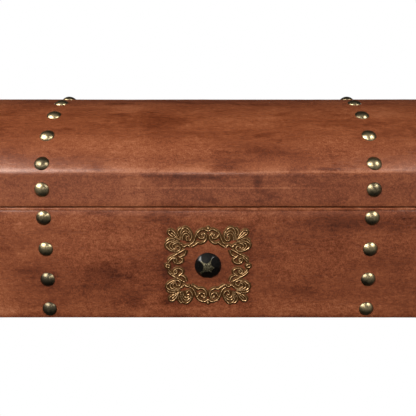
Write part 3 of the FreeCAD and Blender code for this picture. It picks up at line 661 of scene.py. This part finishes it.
def japanned_finish():
    finish, place = new_finish("black_japan")
    spots = place.speckle(700, detail=4)
    colour = spots.ramp((0.35, (0.0008, 0.0008, 0.0008)), (0.75, (0.006, 0.0055, 0.005)))
    place.surface({"Base Color": colour, "Roughness": 0.3 + spots * 0.2, "Specular IOR Level": 0.07,
                   "Normal": spots.bump(0.00015, 0.35)})
    return finish


def rubbed_star_finish(low, high):
    """Grey-green metal with dark pits on the crown, bright black japan left towards the rim."""
    finish, place = new_finish("rubbed_boss")
    radius = (high - low).x / 2
    from_middle = place.vector("SUBTRACT", (low + high) / 2)
    reach = from_middle.stretched(1 / radius, 0, 1 / radius).length()
    pits = place.speckle(1100, detail=4, roughness=0.7)
    worn = 1 - (reach + (pits - 0.5) * 0.5).rise(0.58, 0.80)
    metal = pits.ramp((0.40, (0.010, 0.009, 0.006)), (0.54, (0.11, 0.093, 0.050)),
                      (0.72, (0.36, 0.335, 0.235)))
    colour = worn.blend((0.002, 0.002, 0.002, 1), metal)
    place.surface({"Base Color": colour, "Metallic": worn * 0.75, "Roughness": 0.16 + worn * 0.2,
                   "Normal": (pits * worn).bump(0.0002, 0.6)})
    return finish


def arc_radius(half_width, rise):
    """The radius of the arc over twice this half width that rises this much."""
    return (half_width ** 2 + rise ** 2) / (2 * rise)


def spun_cap(radius, height, steps, bands):
    """A domed cap on the XY plane, spun from an arc that stands on its rim."""
    sphere = arc_radius(radius, height)
    sweep = math.asin(radius / sphere)
    bm = bmesh.new()
    crown = bm.verts.new((0, 0, height))
    bmesh.ops.spin(bm, geom=[crown], cent=(0, 0, height - sphere), axis=(0, 1, 0), angle=sweep, steps=bands)
    bmesh.ops.spin(bm, geom=bm.verts[:] + bm.edges[:], cent=(0, 0, 0), axis=(0, 0, 1), angle=2 * math.pi,
                   steps=steps, use_merge=True)
    bmesh.ops.remove_doubles(bm, verts=bm.verts, dist=CLOSE)
    return bm


def make_boss(low, high):
    radius = (high - low).x / 2
    height = filigree_high.y - low.y
    sphere = arc_radius(radius, height)
    bm = spun_cap(radius, height, BOSS_STEPS, BOSS_BANDS)
    bmesh.ops.holes_fill(bm, edges=bm.edges)
    bmesh.ops.recalc_face_normals(bm, faces=bm.faces)
    middle = Vector((0, 0, height - sphere))
    tilted = Vector((math.sin(FLAT_TILT), 0, math.cos(FLAT_TILT)))
    for turn, half_angle in FLATS:
        lean = Matrix.Rotation(math.radians(turn), 3, "Z") @ tilted
        sunk = sphere * math.cos(math.radians(half_angle))
        cut = bmesh.ops.bisect_plane(bm, geom=all_of(bm), dist=CUT_CLOSE, plane_no=lean, clear_outer=True,
                                     plane_co=middle + lean * sunk)["geom_cut"]
        rim = [item for item in cut if isinstance(item, bmesh.types.BMEdge)]
        for flat in bmesh.ops.edgeloop_fill(bm, edges=rim)["faces"]:
            flat.material_index = 1
    bmesh.ops.recalc_face_normals(bm, faces=bm.faces)
    flat_rims = [e for e in bm.edges if any(f.material_index for f in e.link_faces)]
    bevel_edges(bm, flat_rims, FLAT_EASE, segments=2)
    stand_on_front(bm, 0, filigree_high.y, (low.z + high.z) / 2)
    return bm


boss_bm = make_boss(*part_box("boss"))
rubbed_star = rubbed_star_finish(*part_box("boss"))
boss = set_piece(boss_bm, "boss_faceted", rubbed_star, "base", "boss_black", "boss", sharp=30)
boss.data.materials.append(japanned_finish())

# Base nails
# Domed upholstery nails of antiqued brass, in two columns on the front and two behind. Each dome is pressed
# from sheet with a thin rolled lip, and is driven until the lip beds in the leather.

NAIL_ROWS = 4
NAIL_RADIUS = 0.0055
NAIL_STEPS = 28
NAIL_BANDS = 7
NAIL_LIP = 0.0004
LIP_SHARES = (1.0, 0.9)
# Turn from nail to nail, largest lean, and how fast the lean changes from nail to nail, in radians.
NAIL_SPIN = 2.4
NAIL_LEAN = 0.035
NAIL_LEAN_TURN = 5.1
# Height at which the nails are painted brightest, and the distances over which painted shade darkens them
# further up and down.
BRIGHTEST_NAIL_HEIGHT = 0.112
NAIL_SHADE_FADE = (0.015, 0.085)


def antique_brass_finish():
    """Brass darkened in a bath and rubbed back by hand; no two nails alike. Nails far above or below the
    lid's shoulder get painted shade.
    """
    finish, place = new_finish("antique_brass")
    each = place.speckle(46, detail=1, roughness=0.4)
    stain = place.speckle(520, detail=5, roughness=0.65)
    # Painted shade: nails darker the farther they sit from the shoulder's height.
    shaded_far_from_shoulder = (place.axis("Z") - BRIGHTEST_NAIL_HEIGHT).math("ABSOLUTE").rise(*NAIL_SHADE_FADE)
    tone = each * 0.55 + stain * 0.45 + 0.03 - shaded_far_from_shoulder * 0.13
    colour = tone.ramp((0.36, (0.09, 0.074, 0.048)), (0.50, (0.30, 0.240, 0.138)),
                       (0.64, (0.58, 0.47, 0.275)))
    place.surface({"Base Color": colour, "Metallic": 1.0, "Roughness": 0.42 - tone * 0.24,
                   "Normal": stain.bump(0.00012, 0.3)})
    return finish


def nail_head(height):
    """One dome on the XY plane with its lip below."""
    bm = spun_cap(NAIL_RADIUS, height, NAIL_STEPS, NAIL_BANDS)
    lip = [edge for edge in bm.edges if edge.is_boundary]
    for inward in LIP_SHARES:
        made = bmesh.ops.extrude_edge_only(bm, edges=lip)
        lip = [item for item in made["geom"] if isinstance(item, bmesh.types.BMEdge)]
        bmesh.ops.scale(bm, vec=(inward, inward, 1), verts=verts_in(made))
        bmesh.ops.translate(bm, vec=(0, 0, -NAIL_LIP), verts=verts_in(made))
    bmesh.ops.holes_fill(bm, edges=bm.edges)
    bmesh.ops.recalc_face_normals(bm, faces=bm.faces)
    return mesh_from(bm, "nail_head")


def outward(tilt):
    """A turn that points +Z outwards in the YZ plane: 0 is the front, half a turn the back."""
    return Matrix.Rotation(math.pi / 2 - tilt, 4, "X")


def drive_nails(head, seats):
    """A copy of the head at each seat, none set quite square."""
    bm = bmesh.new()
    for index, (place, tilt) in enumerate(seats):
        first = len(bm.verts)
        bm.from_mesh(head)
        bm.verts.ensure_lookup_table()
        spin = Matrix.Rotation(NAIL_SPIN * index, 4, "Z")
        askew = Matrix.Rotation(NAIL_LEAN * math.sin(NAIL_LEAN_TURN * index), 4, "X")
        bmesh.ops.transform(bm, matrix=Matrix.Translation(place) @ outward(tilt) @ askew @ spin,
                            verts=bm.verts[first:])
    return bm


antique_brass = antique_brass_finish()
nail_low, nail_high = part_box("base_front_studs")
base_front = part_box("base_leather")[0].y
nail = nail_head(base_front - nail_low.y)
column_x = nail_high.x - NAIL_RADIUS
first_row = nail_low.z + NAIL_RADIUS
row_pitch = (nail_high.z - nail_low.z - 2 * NAIL_RADIUS) / (NAIL_ROWS - 1)
for face_name, side in (("front", -1), ("back", 1)):
    seats = [(Vector((column * column_x, side * abs(base_front), first_row + row * row_pitch)),
              math.pi / 2 * (1 + side)) for column in (-1, 1) for row in range(NAIL_ROWS)]
    set_piece(drive_nails(nail, seats), f"nails_base_{face_name}", antique_brass, "base", "stud_brass",
              f"base_{face_name}_studs", sharp=50)

# Stop hinges
# Two small box hinges of dull brass, let into the rims and screwed down; the knuckles stand behind the back.
# Their edges are eased, and each leaf has two slotted screws.

SCREW_RADIUS = 0.0021
SCREW_SPREAD = 0.022
SCREW_SLOT = 0.0006
SCREW_PROUD = 0.00015
SCREW_DEPTH = 0.0005
SCREW_SIDES = 24
# Turn of the slots along the box, in radians per metre.
SCREW_TURN = 40
LEAF_EASE = 0.00012
SHARP_EDGE = math.radians(40)
FLAT_ENOUGH = math.radians(1)


def dull_brass_finish():
    finish, place = new_finish("dull_brass")
    drawn = place.stretched(0.05, 1, 1).speckle(3000, detail=3)
    tarnish = place.speckle(160, detail=4)
    colour = (tarnish * 0.7 + drawn * 0.3).ramp((0.35, (0.16, 0.105, 0.045)), (0.65, (0.50, 0.36, 0.16)))
    place.surface({"Base Color": colour, "Metallic": 1.0, "Roughness": 0.32 + tarnish * 0.2,
                   "Normal": drawn.bump(0.00006, 0.3)})
    return finish


def eased_copy(name, size):
    """The solid of a node with its sharp edges eased."""
    bm = bmesh.new()
    bm.from_mesh(frame["nodes"][name].data)
    bmesh.ops.remove_doubles(bm, verts=bm.verts, dist=CUT_CLOSE)
    bmesh.ops.dissolve_limit(bm, angle_limit=FLAT_ENOUGH, verts=bm.verts, edges=bm.edges)
    sharp = [e for e in bm.edges if len(e.link_faces) == 2 and e.calc_face_angle() > SHARP_EDGE]
    bevel_edges(bm, sharp, size, segments=2)
    return bm


def add_screw(bm, place, up):
    """A slotted head: a disc with two raised lands, the slot between them."""
    head = bmesh.new()
    bmesh.ops.create_cone(head, cap_ends=True, segments=SCREW_SIDES, radius1=SCREW_RADIUS,
                          radius2=SCREW_RADIUS, depth=SCREW_DEPTH)
    bmesh.ops.translate(head, vec=(0, 0, -SCREW_DEPTH / 2), verts=head.verts)
    slice_at(head, "y", (SCREW_SLOT / 2, -SCREW_SLOT / 2))
    head.normal_update()
    tops = [f for f in head.faces if f.normal.z > FACING]
    lands = [f for f in tops if abs(f.calc_center_median().y) > SCREW_SLOT / 2]
    raised = verts_in(bmesh.ops.extrude_face_region(head, geom=lands))
    bmesh.ops.translate(head, vec=(0, 0, SCREW_PROUD * 2), verts=raised)
    bmesh.ops.delete(head, geom=lands, context="FACES")
    turn = Matrix.Rotation(place.x * SCREW_TURN, 4, "Z")
    flip = Matrix.Rotation(0 if up > 0 else math.pi, 4, "X")
    sunk = Matrix.Translation((0, 0, -SCREW_PROUD))
    bmesh.ops.transform(head, matrix=Matrix.Translation(place) @ flip @ sunk @ turn, verts=head.verts)
    bmesh.ops.recalc_face_normals(head, faces=head.faces)
    mesh = mesh_from(head, "screw")
    bm.from_mesh(mesh)
    bpy.data.meshes.remove(mesh)


dull_brass = dull_brass_finish()
for side in ("left", "right"):
    for leaf, body, up in (("base_leaf", "base", 1), ("lid_leaf", "lid", -1)):
        hinge_node = f"hinge_{side}_{leaf}"
        leaf_low, leaf_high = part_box(hinge_node)
        hinge_bm = eased_copy(hinge_node, LEAF_EASE)
        set_piece(hinge_bm, f"{hinge_node}_eased", dull_brass, body, "hinge_brass", hinge_node, sharp=35)
        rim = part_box("base_leather")[1].z if up > 0 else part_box("lid_leather_top")[0].z
        screw_bm = bmesh.new()
        for offset in (-0.5, 0.5):
            x = (leaf_low.x + leaf_high.x) / 2 + offset * SCREW_SPREAD
            add_screw(screw_bm, Vector((x, (leaf_low.y - base_front) / 2, rim)), up)
        set_piece(screw_bm, f"screws_{side}_{leaf}", dull_brass, body, "hinge_brass", sharp=30)
    frame["nodes"][f"hinge_{side}_pin"].material_slots[0].material = dull_brass

# Lid leather
# A second skin goes from the front rim over the barrel to the back rim and is turned over the edges of the
# ends. An arched panel, thin at its edges, is pasted over each end inside the turned edge.

LID_WALL = 0.025
LID_WAVE = 0.00018
LID_PITCH = 0.004
BARREL_STEPS = 52
SHOULDER_ROUND = 0.0026
SHOULDER_STEPS = 4
# How much paler, and how high, the band over the shoulder's crease is: partly rub, partly painted sheen.
SHOULDER_RUB_AND_SHEEN = 2.3
RIM_WEAR = 0.5
SHOULDER_BAND = 0.0085
END_ROUND = 0.0016
END_MARGIN = 0.007
END_PANEL_PROUD = 0.0004
END_PANEL_STEPS = 40
END_PANEL_PITCH = 0.006
END_PANEL_WAVE = 0.00008
# Painted shade: how far in from its edge the end panel is darkened, where it steps down to the end.
PANEL_EDGE_SHADE = END_PANEL_PROUD * 1.5

lid_low, lid_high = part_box("lid_leather_top")
barrel_rise = lid_high.z - lid_low.z - LID_WALL
barrel_radius = arc_radius(lid_high.y, barrel_rise)
barrel_axis = lid_high.z - barrel_radius
shoulder = lid_low.z + LID_WALL


def arched_face(bm, x, half_depth, bottom, radius, steps):
    """An upright face with straight sides and a round top about the barrel's axis; gives its shoulders."""
    top = barrel_axis + math.sqrt(radius ** 2 - half_depth ** 2)
    front = bm.verts.new((x, -half_depth, top))
    sweep = 2 * math.asin(half_depth / radius)
    last = bmesh.ops.spin(bm, geom=[front], cent=(x, 0, barrel_axis), axis=(1, 0, 0), angle=-sweep,
                          steps=steps)["geom_last"]
    back = next(item for item in last if isinstance(item, bmesh.types.BMVert))
    feet = bmesh.ops.extrude_vert_indiv(bm, verts=[front, back])["verts"]
    bmesh.ops.translate(bm, vec=(0, 0, bottom - top), verts=feet)
    bmesh.ops.contextual_create(bm, geom=feet)
    bmesh.ops.edgeloop_fill(bm, edges=bm.edges)
    return [front, back]


def extrude_along(bm, length):
    """Draw a flat face out along X into a closed bar."""
    moved = verts_in(bmesh.ops.extrude_face_region(bm, geom=bm.faces[:]))
    bmesh.ops.translate(bm, vec=(length, 0, 0), verts=moved)
    bmesh.ops.recalc_face_normals(bm, faces=bm.faces)


def make_lid_leather():
    bm = bmesh.new()
    shoulders = arched_face(bm, lid_low.x, lid_high.y, lid_low.z, barrel_radius, BARREL_STEPS)
    bmesh.ops.bevel(bm, geom=shoulders, offset=SHOULDER_ROUND, segments=SHOULDER_STEPS, profile=0.5,
                    affect="VERTICES", material=-1)
    extrude_along(bm, lid_high.x - lid_low.x)
    for end in (lid_low.x, lid_high.x):
        end_edges = edges_where(bm, lambda p: abs(p.x - end) < CLOSE)
        above_rim = [e for e in end_edges if max(v.co.z for v in e.verts) > lid_low.z + CLOSE]
        bevel_edges(bm, above_rim, END_ROUND)
    bevel_edges(bm, edges_where(bm, lambda p: p.z < lid_low.z + CLOSE), EDGE_ROLL)
    open_rim(bm, Vector((0, 0, -1)))
    slice_at(bm, "x", steps_between(lid_low.x, lid_high.x, HIDE_PITCH))
    slice_at(bm, "z", steps_between(lid_low.z, shoulder, LID_PITCH))
    uneven(bm, LID_WAVE)
    wear = bm.verts.layers.float.new("wear")
    for vert in bm.verts:
        above = vert.co.z - shoulder if abs(vert.co.y) > lid_high.y - SHOULDER_BAND else 1.0
        rubbed = stray(vert, middle=0.6, swing=1.0, waves=45)
        # Rub and painted sheen, fading upwards from the crease.
        if 0 < above < SHOULDER_BAND:
            vert[wear] = SHOULDER_RUB_AND_SHEEN * rubbed * (1 - above / SHOULDER_BAND)
        elif vert.co.z < lid_low.z + EDGE_ROLL:
            vert[wear] = RIM_WEAR * rubbed
    return bm


def make_end_panel(side):
    """An arched panel lying on the end, with its edge pared round."""
    bm = bmesh.new()
    outer = lid_high.x + END_PANEL_PROUD
    x = outer - EDGE_ROLL if side > 0 else -outer
    half_depth = lid_high.y - END_MARGIN
    bottom = lid_low.z + EDGE_ROLL
    radius = barrel_radius - END_MARGIN
    arched_face(bm, x, half_depth, bottom, radius, END_PANEL_STEPS)
    extrude_along(bm, EDGE_ROLL)
    edge = edges_where(bm, lambda p: abs(abs(p.x) - outer) < CLOSE)
    bevel_edges(bm, edge, END_PANEL_PROUD, segments=2)
    slice_at(bm, "y", steps_between(-lid_high.y, lid_high.y, END_PANEL_PITCH))
    slice_at(bm, "z", steps_between(lid_low.z, lid_high.z, END_PANEL_PITCH))
    uneven(bm, END_PANEL_WAVE)
    wear = bm.verts.layers.float.new("wear")
    for vert in bm.verts:
        from_axis = math.hypot(vert.co.y, vert.co.z - barrel_axis)
        from_edge = min(half_depth - abs(vert.co.y), radius - from_axis, vert.co.z - bottom)
        # Painted shade along the panel's edge.
        if from_edge < PANEL_EDGE_SHADE:
            vert[wear] = stray(vert, middle=-1.6, swing=-1.0, waves=60)
    return bm


lid_leather = set_piece(make_lid_leather(), "leather_lid", leather, "lid", "leather", "lid_leather_top")
give_thickness(lid_leather)
for side_name, side in (("left", -1), ("right", 1)):
    set_piece(make_end_panel(side), f"leather_lid_end_{side_name}", leather, "lid", "leather",
              f"lid_leather_{side_name}")

# Lid lining
# The same cloth over a curved card under the barrel and over flat cards on the rails and the ends, all
# pasted to the wood.

LINING_STEPS = 44
CARD_EASE = 0.0003


def make_barrel_lining():
    low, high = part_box("lid_lining_top")
    outer = high.z - barrel_axis
    floor_low, floor_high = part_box("base_lining_floor")
    thickness = floor_high.z - floor_low.z
    half_sweep = math.asin(high.y / outer)
    bm = bmesh.new()
    start = Vector((low.x, -high.y, barrel_axis + outer * math.cos(half_sweep)))
    inward = Vector((0, math.sin(half_sweep), -math.cos(half_sweep)))
    ends = [bm.verts.new(start), bm.verts.new(start + inward * thickness)]
    edge = bm.edges.new(ends)
    bmesh.ops.spin(bm, geom=ends + [edge], cent=(low.x, 0, barrel_axis), axis=(1, 0, 0),
                   angle=-2 * half_sweep, steps=LINING_STEPS)
    extrude_along(bm, high.x - low.x)
    slice_at(bm, "x", steps_between(low.x, high.x, CARD_PITCH))
    uneven(bm, CARD_WAVE)
    layer = bm.loops.layers.uv.new("weave")
    for face in bm.faces:
        for loop in face.loops:
            x, y, z = loop.vert.co
            loop[layer].uv = (x, outer * math.atan2(y, z - barrel_axis))
    return bm


set_piece(make_barrel_lining(), "lining_lid_top", cloth, "lid", "lining_fabric", "lid_lining_top")
for side in ("front", "back", "left", "right"):
    card_bm = eased_copy(f"lid_lining_{side}", CARD_EASE)
    lay_weave(card_bm)
    set_piece(card_bm, f"lining_lid_{side}", cloth, "lid", "lining_fabric", f"lid_lining_{side}")

# Lid nails
# The same brass nails. The two columns go on over the lid: one nail is driven in each upright wall and an
# even row round the barrel.

BARREL_NAILS = 9
SHOULDER_TO_NAIL = 0.0074
first_tilt = math.acos(lid_high.y / barrel_radius) + SHOULDER_TO_NAIL / barrel_radius
seats = []
for column in (-1, 1):
    for side in (-1, 1):
        seats.append((Vector((column * column_x, side * lid_high.y, lid_low.z + LID_WALL / 2)),
                      math.pi / 2 * (1 + side)))
    for row in range(BARREL_NAILS):
        tilt = first_tilt + row * (math.pi - 2 * first_tilt) / (BARREL_NAILS - 1)
        seats.append((Vector((column * column_x, -barrel_radius * math.cos(tilt),
                              barrel_axis + barrel_radius * math.sin(tilt))), tilt))
set_piece(drive_nails(nail, seats), "nails_lid", antique_brass, "lid", "stud_brass", "lid_studs", sharp=50)

# Studio
# A pale floor that runs into a white background; soft boxes in front to the left and right, each with a
# smaller one that only gloss shows; weak fills all round; the camera in front of the box, a little above it.

FLOOR_SIZE = 12.0
FLOOR_CLEAR = 0.0001
CAMERA_PLACE = (0, -0.456, 0.164)
CAMERA_DIP = 12.05
CAMERA_LENS = 44.57
AIM = Vector((0, -0.06, 0.09))
LAMP_COLOUR = (1, 0.965, 0.91)

# Name, azimuth from the front to the right, elevation, distance, width, height, power and what it lights.
LIGHTS = (
    ("soft_box_left", -54, 33, 1.2, 1.15, 0.60, 16, "all"),
    ("soft_box_right", 52, 34, 1.2, 0.50, 0.55, 5.2, "all"),
    ("camera_box", 0, 20, 0.46, 0.10, 0.06, 0.18, "gloss"),
    ("sheen_box_left", -40, 37, 1.2, 0.50, 0.42, 6, "gloss"),
    ("sheen_box_right", 44, 36, 1.2, 0.30, 0.30, 2.5, "gloss"),
    ("front_fill", -4, 8, 1.5, 1.4, 0.7, 8.5, "scatter"),
    ("room_fill", 105, 8, 1.5, 1.0, 0.6, 10, "scatter"),
    ("room_fill", 180, 8, 1.5, 1.0, 0.6, 10, "scatter"),
    ("room_fill", 255, 8, 1.5, 1.0, 0.6, 10, "scatter"),
    ("rear_box", 130, 6, 1.5, 0.4, 0.4, 2.5, "gloss"),
    ("rear_box", 230, 6, 1.5, 0.4, 0.4, 2.5, "gloss"),
)


def make_floor():
    bm = bmesh.new()
    bmesh.ops.create_grid(bm, x_segments=1, y_segments=1, size=FLOOR_SIZE / 2)
    bmesh.ops.translate(bm, vec=(0, 0, -FLOOR_CLEAR), verts=bm.verts)
    mesh = mesh_from(bm, "floor")
    finish, place = new_finish("floor_paper")
    seen = place.node("LightPath", output="Is Camera Ray")
    paper = place.node("BsdfDiffuse", None, {"Color": (0.3, 0.3, 0.3, 1)})
    white = place.node("Emission", None, {"Strength": 1.0})
    both = place.node("MixShader", None, {0: seen, 1: paper, 2: white})
    place.node("OutputMaterial", None, {"Surface": both})
    mesh.materials.append(finish)
    floor = new_object("floor", mesh)
    floor.visible_glossy = False


def add_soft_box(name, azimuth, elevation, distance, width, height, power, lights):
    """A rectangle of light aimed at the box, for its gloss, its scattered light or all of it."""
    lamp = bpy.data.lights.new(name, "AREA")
    lamp.shape = "RECTANGLE"
    lamp.size = width
    lamp.size_y = height
    lamp.energy = power
    lamp.color = LAMP_COLOUR
    turn = Matrix.Rotation(math.radians(azimuth), 3, "Z") @ Matrix.Rotation(-math.radians(elevation), 3, "X")
    away = turn @ Vector((0, -1, 0))
    light = new_object(name, lamp)
    light.location = AIM + away * distance
    light.rotation_euler = away.to_track_quat("Z", "Y").to_euler()
    light.visible_camera = False
    light.visible_glossy = lights != "scatter"
    light.visible_diffuse = lights != "gloss"


def light_room():
    world = bpy.data.worlds.new("studio")
    world.use_nodes = True
    world.node_tree.nodes.clear()
    start = Tone(world.node_tree)
    seen = start.node("LightPath", output="Is Camera Ray")
    toward = start.node("TexCoord", output="Generated")
    in_front = (0 - toward.axis("Y")).rise(-0.4, 0.9)
    glow = in_front * toward.axis("Z").rise(-0.85, 0.25) * 0.5 + 0.03
    room = start.node("Background", None, {"Color": (1, 0.97, 0.93, 1), "Strength": glow})
    backdrop = start.node("Background", None, {"Color": (1, 1, 1, 1), "Strength": 1.0})
    both = start.node("MixShader", None, {0: seen, 1: room, 2: backdrop})
    start.node("OutputWorld", None, {"Surface": both})
    bpy.context.scene.world = world
    bpy.context.scene.view_settings.view_transform = "Standard"


make_floor()
light_room()
for setting in LIGHTS:
    add_soft_box(*setting)
camera = new_object("camera", bpy.data.cameras.new("camera"))
camera.data.lens = CAMERA_LENS
camera.location = CAMERA_PLACE
camera.rotation_euler = (math.radians(90 - CAMERA_DIP), 0, 0)
bpy.context.scene.camera = camera
